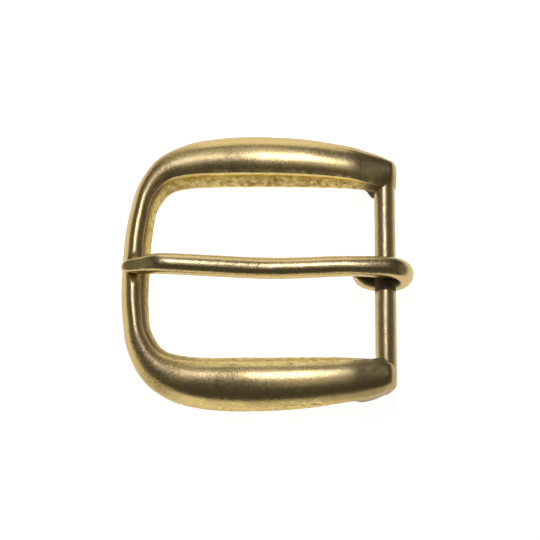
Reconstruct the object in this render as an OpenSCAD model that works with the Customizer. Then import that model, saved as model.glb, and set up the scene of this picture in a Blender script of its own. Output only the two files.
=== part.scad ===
// Side bar belt buckle in solid brass: a cast frame, a straight side bar and a wire prong that turns on it.
// It lies as it rests on a table: the nose flat on the table and the bar end carried by the prong's eye.
// +X runs from the nose to the bar, +Y runs along the bar and +Z is up. Sizes are millimetres.

/* [Frame] */
// Clear width between the arms at the side bar, for a 38 mm strap
opening_w = 38.7; // [36:0.1:42]
// Overall width across both arms at the widest section
overall_w = 64; // [60:0.5:68]
// Height of the dome over the frame's back at the widest section
crown_h = 4.6; // [4:0.1:5.4]
// Height of the low outer wall under the dome
outer_wall_h = 1.25; // [0.8:0.05:1.8]
// Radius that rounds the end of each arm
arm_end_r = 1.1; // [0.8:0.1:1.3]
// How far the dome falls where it rounds over the end of an arm
arm_end_fall = 1.6; // [1:0.1:2]

/* [Lugs] */
// Height of the lug's underside over the table
lug_bottom_z = 2; // [1.6:0.1:3]
// How far the lug's inner face leans into the opening at its underside
lug_lean = 0.3; // [0:0.1:0.6]
// Depth of the blind socket that holds each end of the side bar
socket_depth = 3.6; // [2.5:0.1:4.5]
// Radial clearance of the side bar in its sockets
socket_clearance = 0.03; // [0.01:0.01:0.08]

/* [Side bar] */
// Diameter of the side bar
bar_d = 4.5; // [4:0.1:4.8]
// Distance of the side bar's axis from the middle of the buckle
bar_x = 25.5; // [25:0.1:26]

/* [Prong] */
// Diameter of the prong's wire
wire_d = 4.6; // [4:0.1:5]
// Radial thickness of the wire where it is bent round the side bar
eye_wire_h = 3.9; // [3.5:0.05:4.2]
// Radial clearance of the prong's eye on the side bar
eye_clearance = 0.1; // [0.05:0.01:0.15]
// Place of the eye along the side bar
eye_y = -0.45; // [-3:0.05:3]
// Angle by which the prong points off the buckle's middle line
prong_skew = 1.05; // [0:0.05:1.5]
// Depth of the notch that the prong's tip lies in, under the top of the nose
notch_depth = 1; // [0.7:0.05:1.3]
// Radius of the notch, seen along the prong
notch_r = 7.7; // [6:0.1:9]

/* [Hidden] */

brass = [0.74, 0.63, 0.36];
worn_brass = [0.66, 0.56, 0.32];
dark_brass = [0.70, 0.60, 0.38];

// Sections of the frame from the middle of the nose to the end of an arm, a row for each section.
// x_in, x_out: where the inner and outer back edges are along the buckle.
// y_in, y_out: the same edges across it, in parts of the half opening and of the half overall width.
// back_z: height of the back over the table. dome: height of the dome, in parts of crown_h.
// wall_u, wall_h: width and height of the bevelled inner wall.
X_IN = 0;
Y_IN = 1;
X_OUT = 2;
Y_OUT = 3;
BACK_Z = 4;
DOME = 5;
WALL_U = 6;
WALL_H = 7;
frame_rows = [
    // x_in,  y_in,  x_out,  y_out, back_z, dome, wall_u, wall_h
    [-25.5,   0,    -31.6,   0,     0,      0.96, 1.5,    3.1],
    [-25.55,  0.243, -31.5,  0.194, 0,      0.96, 1.5,    3.1],
    [-25.25,  0.493, -30.8,  0.397, 0,      0.96, 1.6,    3.15],
    [-24.55,  0.725, -29.4,  0.6,   0,      0.99, 1.8,    3.2],
    [-21.95,  0.933, -25.75, 0.802, 0.05,   1,    2.0,    3.25],
    [-17.8,   1.007, -19.5,  0.934, 0.35,   1,    2.1,    3.25],
    [-11.5,   1.026, -12.1,  0.988, 1.35,   1,    2.15,   3.25],
    [-3.2,    1.026, -3.5,   1,     2.9,    1,    2.2,    3.25],
    [7.3,     1.02,  7.3,    0.98,  4.6,    0.96, 2.1,    3.1],
    [16.75,   1.012, 16.75,  0.932, 5.85,   0.87, 1.6,    2.8],
    [24.1,    1,     24.1,   0.87,  6.1,    0.79, 1.15,   2.75],
    [27,      1,     27,     0.828, 6.2,    0.76, 1.0,    2.8],
];
row_steps = 5;
crown_place = 0.5; // the top of the dome, in parts of the way from the inner crest to the outer wall
dome_steps = 4;
shoulder_step = 10;
wall_foot = 0.3;
back_edge = 0.2;
end_angles = [25, 50, 72, 88];

// The bar's height follows from the eye, whose underside stands on the table.
bar_r = bar_d / 2;
bore_r = bar_r + eye_clearance;
eye_r = bore_r + eye_wire_h / 2;
bar_z = bore_r + eye_wire_h;
half_opening = opening_w / 2;
half_width = overall_w / 2;

// Sections of the prong from its tip to the top of the eye, a row for each section.
// x, z: the middle of the wire. w, h: its width across and its thickness, in parts of the wire's diameter.
PX = 0;
PZ = 1;
PW = 2;
PH = 3;
strand_rows = [
    // x,     z,    w,    h
    [-31.72, 4.45, 0.24, 0.17],
    [-31.0,  4.65, 0.51, 0.42],
    [-29.6,  5.0,  0.64, 0.6],
    [-27.8,  5.65, 0.75, 0.75],
    [-25.7,  6.75, 0.92, 0.91],
    [-22.6,  7.55, 1,    1],
    [-15,    7.4,  1,    1],
    [-6.5,   7.15, 1,    1],
    [0,      7.2,  1,    1],
    [5.5,    7.95, 1,    1],
    [10.5,   9.2,  1,    1],
    [15.5,   10.4, 1,    0.98],
    [20.5,   10.8, 1.01, 0.91],
];
strand_steps = 4;
// The eye runs round the side bar from above it, over its far side and back under it
eye_width = 1.03;
eye_step = 12;
eye_from = 90;
eye_to = -118;
// The cut end of the wire, from under the eye up to the underside of the strand
tail_rows = [
    // x,     z,    w,    h
    [21.1,   3.65, 0.98, 0.74],
    [19.5,   5.9,  0.85, 0.52],
    [18.6,   7.9,  0.65, 0.33],
];
tail_steps = 3;
prong_sides = 16;

// The notch in the nose, on the prong's line
notch_x = -28.6;
notch_y = eye_y + (notch_x - bar_x) * tan(prong_skew);
notch_floor_z = crown_h * frame_rows[0][DOME] - notch_depth;
notch_slope = 6;
notch_len = 14;

// Where the lug starts under the inner and outer edges of an arm, and where it has its full depth
lug_inner_from = 21.2;
lug_inner_full = 23.3;
lug_outer_from = 18.4;
lug_outer_full = 21.2;
socket_mouth = 2; // how far the socket's cutter stands out of the arm
fine = 96;

// A smooth curve through rows of numbers, steps points to each row
function curve_point(a, b, c, d, t) =
    0.5 * (2 * b + (c - a) * t + (2 * a - 5 * b + 4 * c - d) * t * t + (3 * b - a - 3 * c + d) * t * t * t);
function smooth(rows, before, after, steps) = [
    for (i = [0 : len(rows) - 2], k = [0 : steps - 1])
        curve_point(
            i == 0 ? before : rows[i - 1],
            rows[i],
            rows[i + 1],
            i == len(rows) - 2 ? after : rows[i + 2],
            k / steps
        ),
    rows[len(rows) - 1],
];

// A row of the frame table with its parts turned into millimetres
function sized(r) = [
    r[X_IN], r[Y_IN] * half_opening, r[X_OUT], r[Y_OUT] * half_width,
    r[BACK_Z], r[DOME] * crown_h, r[WALL_U], r[WALL_H],
];
// The same row on the other side of the buckle's middle line
function across(r) = [r[X_IN], -r[Y_IN], r[X_OUT], -r[Y_OUT], r[BACK_Z], r[DOME], r[WALL_U], r[WALL_H]];

// How far along a ramp x is, from 0 to 1
function ramp(x, from, full) = max(0, min(1, (x - from) / (full - from)));

// One section of the frame: how far out from the inner back edge, and how high over the back.
// lug_in and lug_out say how deep the lug hangs under the two back edges, and foot_u where its inner foot is.
function section(width, dome, wall_u, wall_h, lug_in, lug_out, foot_u) =
    let (crown_u = wall_u + (width - wall_u) * crown_place)
    concat(
        [[0, back_edge], [wall_u / 2, (wall_h + back_edge) / 2], [wall_u, wall_h]],
        [
            for (k = [1 : dome_steps])
                let (part = k / dome_steps)
                [wall_u + (crown_u - wall_u) * part, dome - (dome - wall_h) * (1 - part) * (1 - part)]
        ],
        [
            for (a = [shoulder_step : shoulder_step : 90])
                [crown_u + (width - crown_u) * sin(a), outer_wall_h + (dome - outer_wall_h) * cos(a)]
        ],
        [[width - wall_foot, -lug_out], [foot_u, -lug_in]]
    );
// A section set in its place. rounding goes from 0 to 1 round the end of an arm: the section moves out,
// is drawn in on both sides and falls on top.
function placed_section(r, end_shift, rounding) =
    let (
        from = [r[X_IN], r[Y_IN]],
        to = [r[X_OUT], r[Y_OUT]],
        width = norm(to - from),
        outward = (to - from) / width,
        narrow = 1 - 2 * arm_end_r * rounding / width,
        low = 1 - arm_end_fall * rounding / r[DOME],
        back_z = max(0, r[BACK_Z]),
        depth = back_z - lug_bottom_z,
        inner = ramp(r[X_IN], lug_inner_from, lug_inner_full),
        outer = ramp(r[X_IN], lug_outer_from, lug_outer_full),
        foot_u = back_edge * (1 - inner) - lug_lean * inner
    )
    [
        for (p = section(width, r[DOME], r[WALL_U], r[WALL_H], depth * inner, depth * outer, foot_u))
            let (u = width / 2 + (p[0] - width / 2) * narrow)
            [from[0] + outward[0] * u + end_shift, from[1] + outward[1] * u, back_z + p[1] * low]
    ];

// A closed skin over rings of points that all have the same number of points
module skin(rings) {
    count = len(rings[0]);
    last = len(rings) - 1;
    sides = [
        for (i = [0 : last - 1], j = [0 : count - 1])
            let (a = i * count + j, b = i * count + (j + 1) % count)
            each [[a, a + count, b + count], [a, b + count, b]]
    ];
    first_cap = [for (j = [0 : count - 1]) j];
    last_cap = [for (j = [count - 1 : -1 : 0]) last * count + j];
    polyhedron(points = [for (ring = rings) each ring], faces = concat([first_cap], sides, [last_cap]));
}

module frame_loop() {
    rows = [for (r = frame_rows) sized(r)];
    count = len(rows);
    half = smooth(rows, across(rows[1]), 2 * rows[count - 1] - rows[count - 2], row_steps);
    arm = [for (r = half) placed_section(r, 0, 0)];
    end_row = half[len(half) - 1];
    rounding = [
        for (a = end_angles)
            placed_section(end_row, arm_end_r * sin(a), 1 - cos(a))
    ];
    upper = concat(arm, rounding);
    lower = [for (i = [1 : len(upper) - 1]) [for (p = upper[i]) [p[0], -p[1], p[2]]]];
    skin(concat([for (i = [len(upper) - 1 : -1 : 0]) upper[i]], lower));
}

module socket() {
    translate([bar_x, half_opening + socket_depth, bar_z])
        rotate([90, 0, 0])
        cylinder(r = bar_r + socket_clearance, h = socket_depth + socket_mouth, $fn = fine);
}

module notch() {
    translate([notch_x, notch_y, notch_floor_z + notch_r])
        rotate([0, notch_slope, prong_skew])
        rotate([0, 90, 0])
        cylinder(r = notch_r, h = notch_len, center = true, $fn = fine);
}

module frame() {
    color(brass)
        difference() {
            frame_loop();
            socket();
            mirror([0, 1, 0]) socket();
            notch();
        }
}

module side_bar() {
    length = 2 * (half_opening + socket_depth - socket_clearance);
    color(worn_brass)
        translate([bar_x, 0, bar_z])
        rotate([90, 0, 0])
        cylinder(d = bar_d, h = length, center = true, $fn = fine);
}

// A round or oval section of the wire, square to the wire's slope
function wire_ring(row, slope) =
    let (y = eye_y + min(0, row[PX] - bar_x) * tan(prong_skew))
    [
        for (k = [0 : prong_sides - 1])
            let (
                a = 360 * k / prong_sides,
                side = wire_d * row[PW] / 2 * cos(a),
                rise = wire_d * row[PH] / 2 * sin(a)
            )
            [row[PX] - rise * sin(slope), y + side, row[PZ] + rise * cos(slope)]
    ];
function direction(a, b) = atan2(b[PZ] - a[PZ], b[PX] - a[PX]);

module prong_wire() {
    eye_rows = [
        for (a = [eye_from : -eye_step : eye_to])
            [bar_x + eye_r * cos(a), bar_z + eye_r * sin(a), eye_width, eye_wire_h / wire_d]
    ];
    eye_last = len(eye_rows) - 1;
    strand = smooth(concat(strand_rows, [eye_rows[0]]), strand_rows[0], eye_rows[1], strand_steps);
    tail = smooth(
        concat([eye_rows[eye_last]], tail_rows),
        eye_rows[eye_last - 1],
        tail_rows[len(tail_rows) - 1],
        tail_steps
    );
    path = concat(strand, [for (i = [1 : eye_last - 1]) eye_rows[i]], tail);
    count = len(path);
    rings = [
        for (i = [0 : count - 1])
            wire_ring(path[i], direction(path[max(0, i - 1)], path[min(count - 1, i + 1)]))
    ];
    skin(rings);
}

module prong() {
    color(dark_brass)
        difference() {
            prong_wire();
            translate([bar_x, eye_y, bar_z])
                rotate([90, 0, 0])
                cylinder(r = bore_r, h = 2 * wire_d, center = true, $fn = fine);
        }
}

frame();
side_bar();
prong();
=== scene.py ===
# Side bar belt buckle in solid brass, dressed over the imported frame.
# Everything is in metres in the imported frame's own axes: +X to the side bar, +Y along it, +Z up.
import math
import bmesh
import bpy
import numpy as np
from mathutils import Matrix, Vector, noise


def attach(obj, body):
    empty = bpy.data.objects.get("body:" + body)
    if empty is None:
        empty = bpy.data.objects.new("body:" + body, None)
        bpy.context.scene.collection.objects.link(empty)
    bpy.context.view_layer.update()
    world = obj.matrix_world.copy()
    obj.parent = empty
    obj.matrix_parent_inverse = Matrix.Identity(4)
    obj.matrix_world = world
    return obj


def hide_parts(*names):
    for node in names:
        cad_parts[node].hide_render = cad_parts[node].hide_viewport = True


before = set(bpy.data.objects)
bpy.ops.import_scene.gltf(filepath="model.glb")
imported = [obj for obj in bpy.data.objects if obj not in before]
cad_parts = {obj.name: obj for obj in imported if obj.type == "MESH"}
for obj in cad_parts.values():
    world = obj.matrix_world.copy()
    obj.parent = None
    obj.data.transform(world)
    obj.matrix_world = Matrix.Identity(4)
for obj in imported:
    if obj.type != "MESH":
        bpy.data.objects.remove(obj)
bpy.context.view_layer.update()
mm = 0.001


# camera, light and floor

camera = {
    "target": (0.426, -0.137, 4.2),  # millimetres, the point at the middle of the picture
    "back": (-0.0919, -0.3564, 0.9298),  # from the target to the camera
    "right": (0.9941, 0.0220, 0.1067),
    "distance": 280.2,
    "lens": 85.61,
    "sensor": 36,
}

studio = {
    "roomBrightness": 0.082,
    "roomColor": (1, 0.95, 0.93, 1),
    # rectangles of light: middle in millimetres, width and height, brightness, colour,
    # and the way they face away from
    "panels": {
        "softbox": ((-23, 92, 205), (60, 76), 6.0, (0.94, 0.99, 1.4), (-23, 92, 205)),
        "softboxSkirt": ((-23, 85, 210), (62, 240), 0.8, (0.97, 0.97, 1.08), (-23, 85, 210)),
        "whiteCard": ((-13, 150, 43), (94, 86), 1.15, (1, 1, 1), (0, 1, 0)),
        "lowCard": ((-20, -150, 15), (220, 30), 1.3, (1, 1, 0.96), (0, -1, 0)),
        "leftCard": ((-170, 0, 70), (220, 140), 0.13, (1, 1, 1), (-1, 0, 0)),
        "rightCard": ((170, 0, 70), (220, 140), 0.12, (1, 1, 1), (1, 0, 0)),
    },
    "floorSize": 3,
    "floorColor": (0.6, 0.6, 0.59, 1),
    "floorRoughness": 0.9,
    "floorShine": 0.1,
    "floorGlow": 0.9,
    "farGlow": 0.45,
    "glowReach": (95, 150),  # millimetres from the middle, where the glow starts and stops falling
}


def makeCamera():
    back = Vector(camera["back"]).normalized()
    right = Vector(camera["right"])
    right = (right - back * right.dot(back)).normalized()
    up = back.cross(right)
    place = Vector(camera["target"]) + back * camera["distance"]
    bpy.ops.object.camera_add()
    eye = bpy.context.object
    eye.name = "photo_camera"
    turned = Matrix((right, up, back)).transposed()
    eye.matrix_world = Matrix.Translation(place * mm) @ turned.to_4x4()
    eye.data.sensor_width = camera["sensor"]
    eye.data.lens = camera["lens"]
    eye.data.clip_start = 0.01
    eye.data.clip_end = 20
    bpy.context.scene.camera = eye


def addPanel(name, place, size, brightness, color, away):
    # a soft rectangle that shines towards the buckle, hidden from the camera
    bpy.ops.object.light_add(type="AREA")
    panel = bpy.context.object
    panel.name = name
    panel.data.shape = "RECTANGLE"
    panel.data.size = size[0] * mm
    panel.data.size_y = size[1] * mm
    panel.data.color = color
    panel.data.energy = brightness * math.pi * size[0] * size[1] * mm * mm
    panel.visible_camera = False
    turned = Vector(away).to_track_quat("Z", "Y").to_matrix().to_4x4()
    panel.matrix_world = Matrix.Translation(Vector(place) * mm) @ turned


def makeLights():
    for name, values in studio["panels"].items():
        addPanel(name, *values)

    world = bpy.data.worlds.new("studioRoom")
    bpy.context.scene.world = world
    world.use_nodes = True
    world.node_tree.nodes["Background"].inputs["Color"].default_value = studio["roomColor"]
    world.node_tree.nodes["Background"].inputs["Strength"].default_value = studio["roomBrightness"]
    bpy.context.scene.view_settings.view_transform = "Standard"
    bpy.context.scene.view_settings.look = "None"


def makeFloor():
    bpy.ops.mesh.primitive_plane_add(size=studio["floorSize"], location=(0, 0, -0.00001))
    floor = bpy.context.object
    floor.name = "pale_floor"
    paper = bpy.data.materials.new("paleFloor")
    paper.use_nodes = True
    shader = paper.node_tree.nodes["Principled BSDF"]
    shader.inputs["Base Color"].default_value = studio["floorColor"]
    shader.inputs["Roughness"].default_value = studio["floorRoughness"]
    shader.inputs["Specular IOR Level"].default_value = studio["floorShine"]
    shader.inputs["Emission Color"].default_value = (1, 1, 1, 1)
    tree = paper.node_tree
    place = tree.nodes.new("ShaderNodeTexCoord")
    far = tree.nodes.new("ShaderNodeVectorMath")
    far.operation = "LENGTH"
    fall = tree.nodes.new("ShaderNodeMapRange")
    fall.interpolation_type = "SMOOTHSTEP"
    fall.inputs["From Min"].default_value = studio["glowReach"][0] * mm
    fall.inputs["From Max"].default_value = studio["glowReach"][1] * mm
    fall.inputs["To Min"].default_value = studio["floorGlow"]
    fall.inputs["To Max"].default_value = studio["farGlow"]
    tree.links.new(place.outputs["Object"], far.inputs[0])
    tree.links.new(far.outputs["Value"], fall.inputs["Value"])
    tree.links.new(fall.outputs["Result"], shader.inputs["Emission Strength"])
    floor.data.materials.append(paper)
    bpy.ops.object.transform_apply(location=True, rotation=True, scale=True)


bpy.ops.object.select_all(action="DESELECT")
makeCamera()
makeLights()
makeFloor()
print("camera, lights and floor are in place")


# shared tools

def smoothRows(rows, before, after, steps):
    # a smooth curve through rows of numbers, with steps[i] points from row i to the next
    ends = [before] + rows + [after]
    points = []
    for i in range(len(rows) - 1):
        a, b, c, d = (np.array(r, float) for r in ends[i:i + 4])
        for k in range(steps[i]):
            t = k / steps[i]
            bend = 2 * a - 5 * b + 4 * c - d
            twist = 3 * b - a - 3 * c + d
            points.append(0.5 * (2 * b + (c - a) * t + bend * t * t + twist * t * t * t))
    points.append(np.array(rows[-1], float))
    return points


def startRing(name, ring):
    # a circle with a vertex for each point of the first ring, then set on those points
    middle = np.mean(ring, axis=0)
    bpy.ops.object.select_all(action="DESELECT")
    bpy.ops.mesh.primitive_circle_add(vertices=len(ring), radius=2 * mm, location=tuple(middle * mm))
    piece = bpy.context.object
    piece.name = name
    piece.data.name = name
    bpy.ops.object.transform_apply(location=True, rotation=True, scale=True)
    bpy.ops.object.mode_set(mode="EDIT")
    bpy.ops.mesh.select_all(action="SELECT")
    mesh = bmesh.from_edit_mesh(piece.data)
    place = mesh.verts.layers.int.new("place")
    mesh.verts.ensure_lookup_table()
    for i, corner in enumerate(mesh.verts):
        corner[place] = i
        corner.co = Vector(ring[i]) * mm
    bmesh.update_edit_mesh(piece.data)
    return piece


def nextRing(piece, ring):
    # the open edge is extruded and its new vertices set on the ring's points
    bpy.ops.mesh.extrude_region_move()
    mesh = bmesh.from_edit_mesh(piece.data)
    place = mesh.verts.layers.int["place"]
    for corner in mesh.verts:
        if corner.select:
            corner.co = Vector(ring[corner[place]]) * mm
    bmesh.update_edit_mesh(piece.data)


def closeEnd(steps):
    # the open end is drawn in by a few small steps and merged in its middle
    for part in steps:
        bpy.ops.mesh.extrude_region_move()
        bpy.ops.transform.resize(value=(part, part, part))
    bpy.ops.mesh.merge(type="CENTER")


def applyModifier(piece, kind, **values):
    modifier = piece.modifiers.new(kind.lower(), kind)
    for key, value in values.items():
        setattr(modifier, key, value)
    bpy.context.view_layer.objects.active = piece
    bpy.ops.object.modifier_apply(modifier=modifier.name)


def closeAndFace(piece):
    bpy.ops.object.mode_set(mode="EDIT")
    bpy.ops.mesh.select_all(action="SELECT")
    bpy.ops.mesh.remove_doubles(threshold=0.002 * mm)
    bpy.ops.mesh.normals_make_consistent(inside=False)
    bpy.ops.object.mode_set(mode="OBJECT")
    bpy.ops.object.shade_smooth()


def setMask(piece, name, weights):
    # a weight for each place round the section, kept as an attribute that the material reads
    mask = piece.data.attributes.new(name, "FLOAT", "POINT")
    places = np.zeros(len(piece.data.vertices), np.int32)
    piece.data.attributes["place"].data.foreach_get("value", places)
    mask.data.foreach_set("value", np.array(weights, np.float32)[places])


def readPoints(piece):
    points = np.zeros(len(piece.data.vertices) * 3, np.float32)
    piece.data.vertices.foreach_get("co", points)
    return points.reshape(-1, 3).astype(float) / mm


def readNormals(piece):
    normals = np.zeros(len(piece.data.vertices) * 3, np.float32)
    piece.data.vertices.foreach_get("normal", normals)
    return normals.reshape(-1, 3).astype(float)


def blob(points, middle, radius):
    # 1 in the middle of a round patch, and 0 from its radius on
    away = np.hypot(points[:, 0] - middle[0], points[:, 1] - middle[1])
    return 1 - ease(away, radius * 0.3, radius)


def keepMask(piece, name, values):
    # a value for each vertex, kept as an attribute that the material reads
    mask = piece.data.attributes.get(name) or piece.data.attributes.new(name, "FLOAT", "POINT")
    mask.data.foreach_set("value", np.array(values, np.float32))


def readMask(piece, name):
    values = np.zeros(len(piece.data.vertices), np.float32)
    piece.data.attributes[name].data.foreach_get("value", values)
    return values.astype(float)


def writePoints(piece, points):
    piece.data.vertices.foreach_set("co", (points * mm).astype(np.float32).ravel())
    piece.data.update()


def grain(points, size, seed=0.0, octaves=3):
    # soft noise from about -1 to 1, with lumps of that size in millimetres
    shift = Vector((seed * 7.3, seed * 3.1, seed * 5.7))
    return np.array([noise.fractal(Vector(p / size) + shift, 1.0, 2.0, octaves) for p in points])


def ease(value, low, high):
    # from 0 at low to 1 at high, with a soft start and a soft end
    part = np.clip((value - low) / (high - low), 0, 1)
    return part * part * (3 - 2 * part)


# brass

brass = {
    "lacquerRoughness": 0.3,
    "lacquerIor": 1.8,
    # painted shade covers the metal's colour with a dark one, dulls it, and leaves little of the lacquer
    "sootCover": 0.95,
    "sootMetal": 0.4,
    "sootRough": 0.4,
    "sootRoughFrom": 0.4,
    "sootLacquer": 0.03,
    "sootLacquerFrom": 0.2,
    "speckNoise": (2.6, 4.0, 0.55),
    "speckEdge": 0.08,
    "fineGrain": (2.0, 0.5),
    "coarseGrain": (3.0, 0.5),
    "coarseShare": 0.3,  # the coarse grain's lumps to the millimetre, as a share of the fine grain's
    # lumps to the millimetre, detail and roughness of each noise, and the values that it fades in between
    "patterns": {
        "patches": (0.16, 3.0, 0.55, 0.35, 0.65),
        "flecks": (2.3, 3.0, 0.55, 0.38, 0.66),
        "satin": (1.1, 4.0, 0.55, 0.3, 0.7),
        "pits": (0.85, 5.0, 0.7, 0.42, 0.62),
        "shadeBands": (0.5, 4.0, 0.55, 0.3, 0.6),
        "footPits": (1.2, 4.0, 0.6, 0.5, 0.6),
    },
}


def node(tree, kind, **inputs):
    made = tree.nodes.new(kind)
    for key, value in inputs.items():
        made.inputs[key.replace("_", " ")].default_value = value
    return made


def noiseNode(tree, place, perMillimetre, detail, rough):
    made = node(tree, "ShaderNodeTexNoise", Scale=perMillimetre / mm, Detail=detail, Roughness=rough)
    tree.links.new(place, made.inputs["Vector"])
    return made.outputs["Fac"]


def rampNode(tree, value, low, high, bottom=0.0, top=1.0):
    made = node(tree, "ShaderNodeMapRange", From_Min=low, From_Max=high, To_Min=bottom, To_Max=top)
    made.interpolation_type = "SMOOTHSTEP"
    tree.links.new(value, made.inputs["Value"])
    return made.outputs["Result"]


def patternNode(tree, place, name, bottom=0.0, top=1.0):
    perMillimetre, detail, rough, low, high = brass["patterns"][name]
    pattern = noiseNode(tree, place, perMillimetre, detail, rough)
    return rampNode(tree, pattern, low, high, bottom, top)


def feed(tree, value, socket):
    # another node's output is linked, and a plain number or colour is set
    if hasattr(value, "links"):
        tree.links.new(value, socket)
    else:
        socket.default_value = value


def sumNode(tree, kind, first, second):
    made = node(tree, "ShaderNodeMath")
    made.operation = kind
    feed(tree, first, made.inputs[0])
    feed(tree, second, made.inputs[1])
    return made.outputs[0]


def timesNode(tree, first, second):
    return sumNode(tree, "MULTIPLY", first, second)


def plusNode(tree, first, second):
    return sumNode(tree, "ADD", first, second)


def mixColors(tree, factor, first, second):
    made = tree.nodes.new("ShaderNodeMix")
    made.data_type = "RGBA"
    tree.links.new(factor, made.inputs["Factor"])
    feed(tree, first, made.inputs[6])
    feed(tree, second, made.inputs[7])
    return made.outputs[2]


def maskNode(tree, name):
    made = node(tree, "ShaderNodeAttribute")
    made.attribute_name = name
    return made.outputs["Fac"]


def addCasting(tree, place, flecks, look, surface):
    # what only the cast frame has: a rough wall, painted shade under the crest and a painted highlight along
    # it, a pitted foot, and dull corners with some painted shade
    wall = maskNode(tree, "wallMask")
    dull = maskNode(tree, "dullMask")
    casting = mixColors(tree, patternNode(tree, place, "pits"), look["wallColor"], look["pitColor"])
    shadeBands = patternNode(tree, place, "shadeBands", look["leastShadeBand"])
    shadeBands = timesNode(tree, shadeBands, maskNode(tree, "shadeBandMask"))
    footPits = timesNode(tree, patternNode(tree, place, "footPits"), maskNode(tree, "footMask"))
    # dull places get a darker, flecked colour: partly a scuffed finish, partly painted shade that dims the
    # highlight
    scuffsAndShade = mixColors(tree, flecks, look["dullColor"], look["dullFlecks"])
    color = mixColors(tree, wall, surface["color"], casting)
    # painted shade: the brown band under the crest
    color = mixColors(tree, shadeBands, color, look["shadeBandColor"])
    # painted highlight along the crest
    color = mixColors(tree, maskNode(tree, "crestMask"), color, look["crestHighlightColor"])
    color = mixColors(tree, footPits, color, look["pitColor"])
    surface["color"] = mixColors(tree, timesNode(tree, dull, look["dullDepth"]), color, scuffsAndShade)

    rougher = timesNode(tree, wall, look["wallRough"])
    rougher = plusNode(tree, rougher, timesNode(tree, dull, look["dullRough"]))
    surface["roughness"] = plusNode(tree, surface["roughness"], rougher)

    lumps = timesNode(tree, noiseNode(tree, place, *look["lumpNoise"]), wall)
    scuffs = timesNode(tree, noiseNode(tree, place, *look["scuffNoise"]), dull)
    relief = timesNode(tree, lumps, look["wallGrain"])
    relief = plusNode(tree, relief, timesNode(tree, scuffs, look["dullGrain"]))
    surface["height"] = plusNode(tree, surface["height"], relief)

    for mask in (wall, dull):
        bare = rampNode(tree, mask, 0.0, 1.0, 1.0, look["bareLacquer"])
        surface["coat"] = timesNode(tree, surface["coat"], bare)


def brassMaterial(name, look):
    # lacquered brass with patches, flecks, grain and painted shade; specks and casting only where the look
    # has them
    metal = bpy.data.materials.new(name)
    metal.use_nodes = True
    tree = metal.node_tree
    shader = tree.nodes["Principled BSDF"]
    shader.inputs["Specular Tint"].default_value = look["edgeTint"]
    shader.inputs["Coat Roughness"].default_value = brass["lacquerRoughness"]
    shader.inputs["Coat IOR"].default_value = brass["lacquerIor"]
    place = tree.nodes.new("ShaderNodeTexCoord").outputs["Object"]

    color = mixColors(tree, patternNode(tree, place, "patches"), look["color"], look["warmColor"])
    flecks = patternNode(tree, place, "flecks")
    color = mixColors(tree, timesNode(tree, flecks, look["fleckDepth"]), color, look["fleckColor"])
    if "speckDepth" in look:
        specks = noiseNode(tree, place, *brass["speckNoise"])
        specks = rampNode(tree, specks, look["speckFrom"], look["speckFrom"] + brass["speckEdge"])
        color = mixColors(tree, timesNode(tree, specks, look["speckDepth"]), color, look["dirtColor"])

    # painted shade: a mask of where shade and dark reflections are painted into the colour
    soot = maskNode(tree, "sootMask")
    fine = noiseNode(tree, place, look["grainPerMm"], *brass["fineGrain"])
    coarse = noiseNode(tree, place, look["grainPerMm"] * brass["coarseShare"], *brass["coarseGrain"])
    surface = {
        "color": color,
        "roughness": patternNode(tree, place, "satin", look["smooth"], look["rough"]),
        "height": plusNode(tree, fine, timesNode(tree, coarse, look["coarseGrain"])),
        "coat": rampNode(tree, soot, brass["sootLacquerFrom"], 1.0, look["lacquer"], brass["sootLacquer"]),
    }
    if "wallColor" in look:
        addCasting(tree, place, flecks, look, surface)

    color = mixColors(tree, timesNode(tree, soot, brass["sootCover"]), surface["color"], look["sootColor"])
    sooty = rampNode(tree, soot, brass["sootRoughFrom"], 1.0, 0.0, brass["sootRough"])
    metallic = rampNode(tree, soot, 0.0, 1.0, 1.0, brass["sootMetal"])
    bump = node(tree, "ShaderNodeBump", Strength=1.0, Distance=look["grainDepth"] * mm)
    tree.links.new(surface["height"], bump.inputs["Height"])
    tree.links.new(color, shader.inputs["Base Color"])
    tree.links.new(plusNode(tree, surface["roughness"], sooty), shader.inputs["Roughness"])
    tree.links.new(metallic, shader.inputs["Metallic"])
    tree.links.new(surface["coat"], shader.inputs["Coat Weight"])
    tree.links.new(bump.outputs["Normal"], shader.inputs["Normal"])
    return metal


# the cast frame

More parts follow.
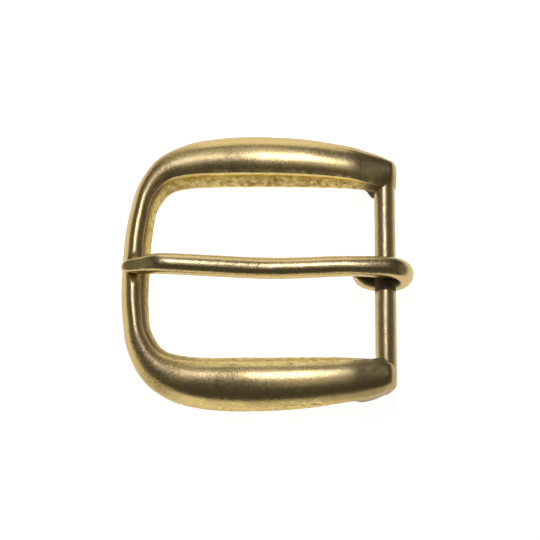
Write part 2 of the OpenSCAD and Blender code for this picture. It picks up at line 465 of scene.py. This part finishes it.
castFrame = {
    "openingWidth": 38.7,  # millimetres, as are all lengths here
    "overallWidth": 64,
    "crownHeight": 4.6,
    "outerWall": 1.2,
    "shoulder": [  # from the dome's top to the outer wall, as shares of width and height
        (0.15, 0.012),
        (0.3, 0.045),
        (0.44, 0.1),
        (0.56, 0.18),
        (0.66, 0.29),
        (0.75, 0.45),
        (0.845, 0.64),
        (0.94, 0.83),
        (1.0, 0.985),
    ],
    "ringSpacing": 0.95,
    "endShifts": (0.2, 0.42, 0.7, 1.0, 1.3, 1.6, 1.8),  # rings that round the end of an arm
    "endFalls": (0.05, 0.17, 0.42, 0.8, 1.25, 1.8, 2.3),
    "endDraws": (0.02, 0.06, 0.15, 0.3, 0.5, 0.8, 1.1),
    "lowEnd": {
        "short": 0.42,
        "shortStart": (20, 28),
        "open": 0.4,
        "openStart": (14, 24),
        "openEdge": (19.8, 22),
        "lowered": 0.4,
        "wornStart": (25.2, 27),
        "wornHeight": (5.5, 8),
    },
    "lugBottom": 2,
    "lugLean": 0.3,
    "lugInnerSlope": (21.2, 23.3),  # where the lug grows down along the arm, at its inner and outer face
    "lugOuterSlope": (18.4, 21.2),
    "wallFoot": 0.2,
    "wallSteps": (0.0, 0.2, 0.4, 0.6, 0.8),
    "wallRound": 0.93,  # how high the wall goes before it rounds over to the crest
    "domeSteps": (0.05, 0.16, 0.33, 0.52, 0.74, 1.0),
    "edgeInsets": (0.1, 0.26, 0.45),  # the rounding of the outer lower edge
    "edgeTop": 0.45,  # where the rounding starts, as a share of the outer wall
    "edgeRise": 0.16,
    "backSteps": (0.75, 0.4, 0.1),
    "notchRadius": 6.2,
    "notchDepth": 0.95,
    "notchPlace": (-28.6, -1.44),
    "notchSlope": 6,
    "notchSoftness": 0.2,
    "notchReach": 0.95,  # the share of its radius that the notch is cut to on each side
    "notchEnd": -20,
    "wallLumps": 0.03,
    "wallLumpSize": 0.9,
    "crestLip": 0.965,
    "crestWave": 0.1,
    "crestWaveSize": 2.6,
    "crestLean": 0.17,  # how far the upper arm's crest leans over the opening
    "crestLeanStart": (14, 20),
    "domeWave": 0.035,
    "domeWaveSize": 7,
    "pits": {
        "depth": 0.12,
        "size": 1.3,
        "edge": (0.15, 0.5),
        "leastDepth": 0.25,  # the share of the depth away from the worst stretch
        "worstOut": (26, 29),
        "worstFrom": (-20, -12),
        "worstTo": (8, 15),
    },
    # how strong the painted shade, the dullness and the wall's painted shading are in each place, and where
    # along x they set in
    "soot": {
        "lugTop": (5.8, 6.3),  # the painted shade by the bar ends fades out between these heights
        "lugStart": (19.8, 21),
        "lugTurn": (0, 0.45),  # how far a face turns to the opening before it is shaded
        "wall": 0.9,
        "wallStart": (17, 23.5),
        "end": 0.25,
        "endStart": (15, 21),
        "nose": 0.5,
        "noseStart": (21, 25),
        "noseWall": 0.24,
        "noseWallStart": (10, 20),
        "lowWall": 0.08,
        "lowLine": 0.3,
        "underside": 0.48,
        "undersideStart": (15, 19),
        "undersideTurn": (-0.15, 0.15),
    },
    "dull": {
        "topCorner": (-24, 23),
        "lowCorner": (-24, -23),
        "cornerRadius": 12,
        "topShare": 0.65,
        "endStart": (6, 20),
        "topEnd": 0.15,
        "lowEnd": 0.35,
        "nose": 0.3,
        "noseStart": (20, 24),
        "faceUp": (0.3, 0.6),
        "faceDown": (-0.1, 0.2),
    },
    "wallShading": {
        "noseStart": (19, 24),
        "nose": 0.15,
        "wall": 0.1,
        "wallStart": (10, 21),
        "lowShare": 0.5,
        "crestFade": 0.9,
        "crestBack": (4, 12),  # where the crest's painted highlight is back in full on the way to the lower arm
    },
    "look": {
        "color": (0.64, 0.472, 0.163, 1),
        "warmColor": (0.61, 0.44, 0.143, 1),
        "edgeTint": (0.85, 0.74, 0.5, 1),
        "lacquer": 0.45,
        "fleckColor": (0.44, 0.33, 0.13, 1),
        "fleckDepth": 0.4,
        "smooth": 0.22,
        "rough": 0.30,
        "grainPerMm": 3.6,
        "coarseGrain": 0.06,
        "grainDepth": 0.017,
        "wallColor": (0.98, 0.78, 0.34, 1),
        "pitColor": (0.46, 0.32, 0.1, 1),
        "shadeBandColor": (0.76, 0.49, 0.06, 1),
        "crestHighlightColor": (0.78, 0.6, 0.24, 1),
        "sootColor": (0.045, 0.03, 0.013, 1),
        "leastShadeBand": 0.55,
        "bareLacquer": 0.2,  # what is left of the lacquer on the wall and on dull places
        "wallRough": 0.12,
        "wallGrain": 2.4,
        "lumpNoise": (1.6, 5.0, 0.65),  # lumps to the millimetre, detail and roughness
        "scuffNoise": (1.7, 3.0, 0.6),
        "dullRough": 0.2,
        "dullGrain": 1.8,
        "dullDepth": 0.8,
        "dullColor": (0.28, 0.205, 0.085, 1),
        "dullFlecks": (0.64, 0.48, 0.20, 1),
    },
}

# sections from the middle of the nose to the end of an arm:
# inner x, inner y in half openings, outer x, outer y in half widths, back height, dome height in crowns,
# width and height of the inner wall, and the dome's top between its crest and the outer wall
frameRows = [
    [-25.5, 0, -31.6, 0, 0, 0.96, 2.0, 3.75, 0.44],
    [-25.55, 0.243, -31.5, 0.194, 0, 0.96, 2.05, 3.75, 0.44],
    [-25.25, 0.493, -30.8, 0.397, 0, 0.96, 2.1, 3.75, 0.43],
    [-24.55, 0.725, -29.4, 0.6, 0, 0.99, 2.25, 3.7, 0.41],
    [-21.95, 0.933, -25.75, 0.802, 0.05, 1, 2.35, 3.55, 0.385],
    [-17.8, 1.007, -19.5, 0.934, 0.35, 1, 2.38, 3.55, 0.385],
    [-11.5, 1.026, -12.1, 0.988, 1.35, 1, 2.38, 3.55, 0.38],
    [-3.2, 1.026, -3.5, 1, 2.9, 1, 2.38, 3.55, 0.38],
    [7.3, 1.02, 7.3, 0.98, 4.6, 0.96, 2.2, 3.35, 0.38],
    [16.75, 1.012, 16.75, 0.932, 5.85, 0.87, 1.7, 3.0, 0.395],
    [20.5, 1.005, 20.5, 0.903, 6.0, 0.83, 1.1, 2.85, 0.45],
    [24.1, 1, 24.1, 0.87, 6.1, 0.79, 0.4, 2.6, 0.53],
    [26.3, 1, 26.3, 0.838, 6.2, 0.77, 0.2, 1.5, 0.57],
]


def frameSection(width, dome, wallWide, wallHigh, crownPlace, lugIn, lugOut, footIn):
    # how far out from the inner back edge and how high over the back, all round the section
    crown = wallWide + (width - wallWide) * crownPlace
    outer = castFrame["outerWall"]
    foot = castFrame["wallFoot"]
    points = []
    for part in castFrame["wallSteps"]:
        points.append((wallWide * part, foot + (wallHigh - foot) * part))
    points.append((wallWide * castFrame["crestLip"], foot + (wallHigh - foot) * castFrame["wallRound"]))
    points.append((wallWide, wallHigh + 0.02))
    for part in castFrame["domeSteps"]:
        rise = dome - (dome - wallHigh) * (1 - part) ** 2
        points.append((wallWide + (crown - wallWide) * part, rise))
    for part, drop in castFrame["shoulder"]:
        points.append((crown + (width - crown) * part, dome - (dome - outer) * drop))
    high, middle, low = castFrame["edgeInsets"]
    points.append((width - high, (outer - lugOut) * castFrame["edgeTop"]))
    points.append((width - middle, -lugOut + castFrame["edgeRise"]))
    points.append((width - low, -lugOut))
    span = width - low - footIn
    for part in castFrame["backSteps"]:
        points.append((footIn + span * part, -lugIn + (lugIn - lugOut) * part))
    points.append((footIn, -lugIn + 0.06))
    return points


# weights for the 29 places round the section, from the inner back edge over the top to the underside
framePlaces = {
    "wallMask": [0.6, 1, 1, 1, 1, 0.9, 0.25] + [0] * 22,  # the rough inner wall
    "footMask": [0] * 19 + [0.1, 0.9, 1, 1, 0.8, 0.3, 0, 0, 0, 0],  # the pitted lower edge
    "shadeBandMask": [0.4, 0, 0, 0.3, 1, 0, 0, 0, 0.25, 0.1] + [0] * 19,  # painted shade, a brown line on the +Y side
    "lowShadeBandMask": [0, 0.1, 0.8, 1, 0.2] + [0] * 24,  # and on the -Y side
    "crestMask": [0, 0, 0, 0, 0, 0.9, 1, 0.6, 0.1] + [0] * 20,  # painted highlight, the crest's bright line on the +Y side
    "lowCrestMask": [0, 0, 0, 0, 0, 0.5, 0.7, 1, 1, 0.5] + [0] * 19,  # and on the -Y side
}


def rampUp(value, low, high):
    return max(0.0, min(1.0, (value - low) / (high - low)))


def placedSection(row, shift, fall, draw):
    inner = np.array([row[0], row[1] * castFrame["openingWidth"] / 2])
    outer = np.array([row[2], row[3] * castFrame["overallWidth"] / 2])
    width = np.linalg.norm(outer - inner)
    outward = (outer - inner) / width
    dome = row[5] * castFrame["crownHeight"]
    narrow = 1 - 2 * draw / width
    low = 1 - fall / dome
    back = max(0, row[4])
    depth = back - castFrame["lugBottom"]
    lugIn = rampUp(row[0], *castFrame["lugInnerSlope"])
    lugOut = rampUp(row[0], *castFrame["lugOuterSlope"])
    footIn = castFrame["wallFoot"] * (1 - lugIn) - castFrame["lugLean"] * lugIn
    ring = []
    section = frameSection(width, dome, row[6], row[7], row[8], depth * lugIn, depth * lugOut, footIn)
    for across, high in section:
        u = width / 2 + (across - width / 2) * narrow
        ring.append((inner[0] + outward[0] * u + shift, inner[1] + outward[1] * u, back + high * low))
    return ring


def buildFrame():
    rows = frameRows
    across = [v * (-1 if i in (1, 3) else 1) for i, v in enumerate(rows[1])]
    beyond = [2 * a - b for a, b in zip(rows[-1], rows[-2])]
    halfOpening = castFrame["openingWidth"] / 2
    halfWidth = castFrame["overallWidth"] / 2
    middles = [((r[0] + r[2]) / 2, (r[1] * halfOpening + r[3] * halfWidth) / 2) for r in rows]
    steps = [max(4, round(math.dist(a, b) / castFrame["ringSpacing"])) for a, b in zip(middles, middles[1:])]
    half = smoothRows(rows, across, beyond, steps)
    rings = [placedSection(r, 0, 0, 0) for r in half]
    for shift, fall, draw in zip(castFrame["endShifts"], castFrame["endFalls"], castFrame["endDraws"]):
        rings.append(placedSection(half[-1], shift, fall, draw))
    piece = startRing("brass_frame", rings[0])
    for ring in rings[1:]:
        nextRing(piece, ring)
    closeEnd((0.9, 0.75, 0.5))
    bpy.ops.object.mode_set(mode="OBJECT")
    for name, weights in framePlaces.items():
        setMask(piece, name, weights)
    applyModifier(piece, "MIRROR", use_axis=(False, True, False), merge_threshold=0.01 * mm)
    closeAndFace(piece)
    applyModifier(piece, "SUBSURF", levels=2, render_levels=2)
    return piece


def shapeCasting(points, normals, masks):
    # a hand-polished dome, never quite even
    wave = grain(points, castFrame["domeWaveSize"], 1)
    points += normals * (wave[:, None] * castFrame["domeWave"])
    # the crest wanders and leans in, and the cast wall under it is lumpy
    crest = masks["crestMask"]
    wander = grain(points * (1, 1, 0.2), castFrame["crestWaveSize"], 2)
    points[:, 2] += crest * wander * castFrame["crestWave"]
    points[:, 1] -= crest * castFrame["crestLean"] * ease(points[:, 1], *castFrame["crestLeanStart"])
    lumps = grain(points, castFrame["wallLumpSize"], 3, 4)
    points += normals * (masks["wallMask"] * lumps * castFrame["wallLumps"])[:, None]


def sootOf(points, normals, masks):
    # painted shade where the bar goes into the lugs, on the walls and the arms' ends towards the bar, on the
    # nose's crest and wall, along the lower arm's wall and crest line, and on the underside towards the bar
    values = castFrame["soot"]
    along = points[:, 0]
    low = points[:, 1] < 0
    wall = masks["wallMask"]
    inward = -np.sign(points[:, 1]) * normals[:, 1]
    lug = ease(along, *values["lugStart"]) * ease(inward, *values["lugTurn"])
    lug *= 1 - ease(points[:, 2], *values["lugTop"])
    soot = np.maximum(wall * ease(along, *values["wallStart"]) * values["wall"], lug)
    soot = np.maximum(soot, values["end"] * ease(along, *values["endStart"]))
    soot += values["nose"] * (masks["shadeBandMask"] + masks["crestMask"]) * ease(-along, *values["noseStart"])
    soot += wall * values["noseWall"] * ease(-along, *values["noseWallStart"])
    soot += wall * values["lowWall"] * low
    soot += values["lowLine"] * masks["lowShadeBandMask"] * low
    turned = 1 - ease(normals[:, 2], *values["undersideTurn"])
    soot += values["underside"] * ease(along, *values["undersideStart"]) * turned
    return np.clip(soot, 0, 1)


def pitFoot(points, normals, foot):
    # pits along the lower outer edge, most of them under the lower arm
    values = castFrame["pits"]
    least = values["leastDepth"]
    bites = ease(grain(points, values["size"], 4), *values["edge"])
    worst = ease(-points[:, 1], *values["worstOut"]) * ease(points[:, 0], *values["worstFrom"])
    worst *= 1 - ease(points[:, 0], *values["worstTo"])
    depth = values["depth"] * (least + (1 - least) * worst)
    points -= normals * (foot * bites * depth)[:, None]


def dullOf(points, normals, masks):
    # the corners of the nose and the arms' ends are left duller than the arms: rougher and scuffed, and
    # darker with painted shade that dims their highlight
    values = castFrame["dull"]
    top = points[:, 1] > 0
    topCorner = blob(points, values["topCorner"], values["cornerRadius"]) * values["topShare"]
    lowCorner = blob(points, values["lowCorner"], values["cornerRadius"])
    ends = ease(points[:, 0], *values["endStart"]) * np.where(top, values["topEnd"], values["lowEnd"])
    nose = values["nose"] * ease(-points[:, 0], *values["noseStart"])
    facing = np.maximum(ease(normals[:, 2], *values["faceUp"]), ease(-normals[:, 2], *values["faceDown"]))
    dull = (topCorner + lowCorner + ends + nose) * facing
    return np.clip(dull * (1 - masks["crestMask"]) * (1 - masks["wallMask"]), 0, 1)


def shadeBandOf(points, masks):
    # painted shade: a brown line under the crest, and a darker inner wall towards the nose
    values = castFrame["wallShading"]
    nose = ease(-points[:, 0], *values["noseStart"])
    wall = masks["wallMask"]
    wallShading = np.where(points[:, 1] > 0, masks["shadeBandMask"], masks["lowShadeBandMask"] * values["lowShare"])
    wallShading += (wall + masks["crestMask"]) * nose * values["nose"]
    wallShading += wall * ease(-points[:, 0], *values["wallStart"]) * values["wall"]
    return np.clip(wallShading, 0, 1)


def crestHighlightOf(points, masks):
    # the crest's painted highlight, a bright line, fading out on the nose but not on the lower arm's side
    values = castFrame["wallShading"]
    nose = ease(-points[:, 0], *values["noseStart"])
    lowered = nose * (1 - ease(-points[:, 1], *values["crestBack"])) * values["crestFade"]
    return np.where(points[:, 1] > 0, masks["crestMask"], masks["lowCrestMask"]) * (1 - lowered)


def wearLowArm(points):
    # the lower arm is a touch shorter and lower at its end, and opens a little
    values = castFrame["lowEnd"]
    low = points[:, 1] < 0
    points[low, 0] -= values["short"] * ease(points[low, 0], *values["shortStart"])
    inner = 1 - ease(-points[low, 1], *values["openEdge"])
    points[low, 1] -= values["open"] * inner * ease(points[low, 0], *values["openStart"])
    lowered = values["lowered"] * ease(points[low, 0], *values["wornStart"])
    points[low, 2] -= lowered * ease(points[low, 2], *values["wornHeight"])


def cutNotch(points):
    # the notch for the prong's tip, softened where it meets the dome
    atX, atY = castFrame["notchPlace"]
    radius = castFrame["notchRadius"]
    soft = castFrame["notchSoftness"]
    reach = radius * castFrame["notchReach"]
    slope = np.tan(math.radians(castFrame["notchSlope"]))
    floorZ = castFrame["crownHeight"] * frameRows[0][5] - castFrame["notchDepth"]
    floorZ = floorZ - slope * (points[:, 0] - atX)
    offset = points[:, 1] - atY
    curve = floorZ + radius - np.sqrt(np.maximum(radius ** 2 - offset ** 2, 0.01))
    near = (np.abs(offset) < reach) & (points[:, 0] < castFrame["notchEnd"])
    over = points[:, 2] - curve
    sunk = np.where(near, soft * np.logaddexp(0, over / soft), 0)
    points[:, 2] -= sunk * ease(reach - np.abs(offset), 0, 1)


def sculptFrame(piece):
    points = readPoints(piece)
    normals = readNormals(piece)
    masks = {name: readMask(piece, name) for name in framePlaces}
    shapeCasting(points, normals, masks)
    keepMask(piece, "sootMask", sootOf(points, normals, masks))
    pitFoot(points, normals, masks["footMask"])
    keepMask(piece, "dullMask", dullOf(points, normals, masks))
    keepMask(piece, "shadeBandMask", shadeBandOf(points, masks))
    keepMask(piece, "crestMask", crestHighlightOf(points, masks))
    wearLowArm(points)
    cutNotch(points)
    # nothing hangs below the table
    points[:, 2] = np.maximum(points[:, 2], 0)
    writePoints(piece, points)


frameBrass = brassMaterial("castBrass", castFrame["look"])
framePiece = buildFrame()
sculptFrame(framePiece)
framePiece.data.materials.append(frameBrass)
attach(framePiece, "frame")
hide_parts("frame")
print("the cast frame has", len(framePiece.data.polygons), "faces")


# the side bar

roundBar = {
    "diameter": 4.66,
    "place": (25.55, 6.25),
    "length": 45.8,
    "sides": 40,
    "step": 0.9,
    "wave": 0.03,  # how uneven the bar is, and how far it is drawn in to stay inside its size
    "shadeEdge": (-4.95, -4.6),
    "shadeSlant": 0.08,
    "look": {
        "color": (0.59, 0.44, 0.17, 1),
        "warmColor": (0.55, 0.405, 0.145, 1),
        "sootColor": (0.10, 0.075, 0.04, 1),
        "edgeTint": (0.85, 0.74, 0.5, 1),
        "lacquer": 0.62,
        "dirtColor": (0.18, 0.13, 0.05, 1),
        "fleckColor": (0.44, 0.33, 0.13, 1),
        "fleckDepth": 0.4,
        "speckFrom": 0.62,
        "speckDepth": 0.5,
        "smooth": 0.32,
        "rough": 0.42,
        "grainPerMm": 3.6,
        "coarseGrain": 1.2,
        "grainDepth": 0.024,
    },
}


def buildBar():
    x, z = roundBar["place"]
    radius = roundBar["diameter"] / 2
    start = -roundBar["length"] / 2
    bpy.ops.object.select_all(action="DESELECT")
    bpy.ops.mesh.primitive_circle_add(
        vertices=roundBar["sides"],
        radius=radius * mm,
        location=(x * mm, start * mm, z * mm),
        rotation=(math.radians(90), 0, 0),
    )
    piece = bpy.context.object
    piece.name = "brass_side_bar"
    bpy.ops.object.transform_apply(location=True, rotation=True, scale=True)
    bpy.ops.object.mode_set(mode="EDIT")
    bpy.ops.mesh.select_all(action="SELECT")
    count = round(roundBar["length"] / roundBar["step"])
    for i in range(count):
        move = (0, roundBar["length"] / count * mm, 0)
        bpy.ops.mesh.extrude_region_move(TRANSFORM_OT_translate={"value": move})
    closeEnd((0.9, 0.6))
    bpy.ops.mesh.select_all(action="DESELECT")
    bpy.ops.object.mode_set(mode="OBJECT")
    for corner in piece.data.vertices:
        corner.select = corner.co.y < (start + 0.1) * mm
    bpy.ops.object.mode_set(mode="EDIT")
    closeEnd((0.9, 0.6))
    bpy.ops.object.mode_set(mode="OBJECT")
    closeAndFace(piece)
    applyModifier(piece, "SUBSURF", levels=1, render_levels=1)
    points = readPoints(piece)
    normals = readNormals(piece)
    points += normals * ((grain(points, 3, 5)[:, None] - 1) * roundBar["wave"])
    writePoints(piece, points)
    # painted shade where the bar runs beside the prong's eye
    slant = points[:, 1] - roundBar["shadeSlant"] * (points[:, 0] - x)
    keepMask(piece, "sootMask", ease(slant, *roundBar["shadeEdge"]) * ease(-points[:, 1], 0, 1))
    return piece


barPiece = buildBar()
barPiece.data.materials.append(brassMaterial("drawnBrass", roundBar["look"]))
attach(barPiece, "frame")
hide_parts("side_bar")
print("the side bar has", len(barPiece.data.polygons), "faces")


# the prong

bentProng = {
    "wire": 4.6,
    "eyeHeight": 3.9,
    "eyeWidth": 1.03,
    "eyePlace": (25.5, 6.25),
    "eyeRadius": 4.3,
    "eyeHump": 0.28,
    "humpStart": (20, 90),
    "eyeEnd": -118,  # degrees, where the wire leaves the eye for its cut end
    "eyeStep": 8,
    "eyeY": -0.45,
    "skew": 1.05,
    "lean": 0.13,  # the strand's top faces a little to +Y
    "leanStart": (-28, -22),
    "leanEnd": (18, 25),
    "wave": 0.03,
    "shadeTurn": (0.3, 0.75),
    "shadeStart": (17, 18),
    "sides": 24,
    "ringSpacing": 0.7,
    "look": {
        "color": (0.63, 0.47, 0.175, 1),
        "warmColor": (0.58, 0.425, 0.15, 1),
        "sootColor": (0.10, 0.075, 0.04, 1),
        "edgeTint": (0.85, 0.74, 0.5, 1),
        "lacquer": 0.6,
        "dirtColor": (0.18, 0.13, 0.05, 1),
        "fleckColor": (0.44, 0.33, 0.13, 1),
        "fleckDepth": 0.4,
        "speckFrom": 0.64,
        "speckDepth": 0.45,
        "smooth": 0.22,
        "rough": 0.32,
        "grainPerMm": 4.0,
        "coarseGrain": 1.0,
        "grainDepth": 0.015,
    },
}

# from the tip to the top of the eye: x, z, then width and thickness in wire diameters, squareness,
# and how far it strays to +Y
strandRows = [
    [-31.72, 4.4, 0.32, 0.18, 2.2, 0],
    [-31.2, 4.6, 0.51, 0.38, 2.6, 0],
    [-30.3, 4.8, 0.61, 0.52, 3.0, 0],
    [-28.8, 5.2, 0.69, 0.66, 3.0, 0],
    [-27.2, 5.9, 0.79, 0.78, 2.7, 0],
    [-25.2, 6.85, 0.96, 0.93, 2.2, 0],
    [-22.6, 7.5, 1.04, 1, 2, 0],
    [-15, 7.4, 1.07, 1, 2, 0],
    [-6.5, 7.15, 1.08, 1, 2, 0],
    [0, 7.25, 1.08, 1, 2, 0],
    [5.5, 8.1, 1.07, 1, 2, 0],
    [10.5, 8.98, 1.06, 1, 2, 0.08],
    [15.5, 9.7, 1.04, 0.98, 2, 0.26],
    [20.5, 10.43, 1.04, 0.91, 2, 0.16],
]
# the wire's cut end, under the strand
tailRows = [
    [21.1, 3.65, 0.98, 0.74, 2, 0],
    [19.5, 5.8, 0.85, 0.52, 2, 0],
    [18.6, 7.55, 0.65, 0.33, 2, 0],
]


def wireRing(row, slope):
    wire = bentProng["wire"]
    eyeX = bentProng["eyePlace"][0]
    y = bentProng["eyeY"] + min(0, row[0] - eyeX) * math.tan(math.radians(bentProng["skew"])) + row[5]
    lean = bentProng["lean"] * ease(row[0], *bentProng["leanStart"])
    lean *= 1 - ease(row[0], *bentProng["leanEnd"])
    ring = []
    for k in range(bentProng["sides"]):
        turn = 2 * math.pi * k / bentProng["sides"]
        power = 2 / row[4]
        side = wire * row[2] / 2 * math.copysign(abs(math.cos(turn)) ** power, math.cos(turn))
        rise = wire * row[3] / 2 * math.copysign(abs(math.sin(turn)) ** power, math.sin(turn))
        high = row[1] + rise * math.cos(slope) - side * lean
        ring.append((row[0] - rise * math.sin(slope), y + side, high))
    return ring


def stepsFor(rows):
    spans = [math.hypot(b[0] - a[0], b[1] - a[1]) for a, b in zip(rows, rows[1:])]
    return [max(1, round(s / bentProng["ringSpacing"])) for s in spans]


def buildProng():
    eyeX, eyeZ = bentProng["eyePlace"]
    thick = bentProng["eyeHeight"] / bentProng["wire"]
    eyeRows = []
    for angle in range(90, bentProng["eyeEnd"] - 1, -bentProng["eyeStep"]):
        turn = math.radians(angle)
        radius = bentProng["eyeRadius"] + bentProng["eyeHump"] * ease(angle, *bentProng["humpStart"])
        x = eyeX + radius * math.cos(turn)
        z = eyeZ + radius * math.sin(turn)
        eyeRows.append([x, z, bentProng["eyeWidth"], thick, 2, 0])
    strandWay = strandRows + [eyeRows[0]]
    tailWay = [eyeRows[-1]] + tailRows
    strand = smoothRows(strandWay, strandWay[0], eyeRows[1], stepsFor(strandWay))
    tail = smoothRows(tailWay, eyeRows[-2], tailWay[-1], stepsFor(tailWay))
    path = strand + [np.array(r, float) for r in eyeRows[1:-1]] + tail
    rings = []
    for i, row in enumerate(path):
        before = path[max(0, i - 1)]
        after = path[min(len(path) - 1, i + 1)]
        rings.append(wireRing(row, math.atan2(after[1] - before[1], after[0] - before[0])))
    piece = startRing("brass_prong", rings[-1])
    for ring in reversed(rings[:-1]):
        nextRing(piece, ring)
    closeEnd((0.6,))
    bpy.ops.mesh.select_all(action="DESELECT")
    mesh = bmesh.from_edit_mesh(piece.data)
    for edge in mesh.edges:
        if edge.is_boundary:
            edge.select = True
    bmesh.update_edit_mesh(piece.data)
    closeEnd((0.85, 0.6))
    bpy.ops.object.mode_set(mode="OBJECT")
    closeAndFace(piece)
    applyModifier(piece, "SUBSURF", levels=2, render_levels=2)
    points = readPoints(piece)
    normals = readNormals(piece)
    points += normals * (grain(points, 4, 6)[:, None] * bentProng["wave"])
    writePoints(piece, points)
    # painted shade on the inside of the eye and of the cut end
    outX = points[:, 0] - eyeX
    outZ = points[:, 2] - eyeZ
    facing = (normals[:, 0] * outX + normals[:, 2] * outZ) / np.maximum(np.hypot(outX, outZ), 0.1)
    inside = ease(-facing, *bentProng["shadeTurn"]) * ease(points[:, 0], *bentProng["shadeStart"])
    keepMask(piece, "sootMask", inside)
    return piece


prongPiece = buildProng()
prongPiece.data.materials.append(brassMaterial("bentBrass", bentProng["look"]))
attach(prongPiece, "prong")
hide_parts("prong")
print("the prong has", len(prongPiece.data.polygons), "faces")
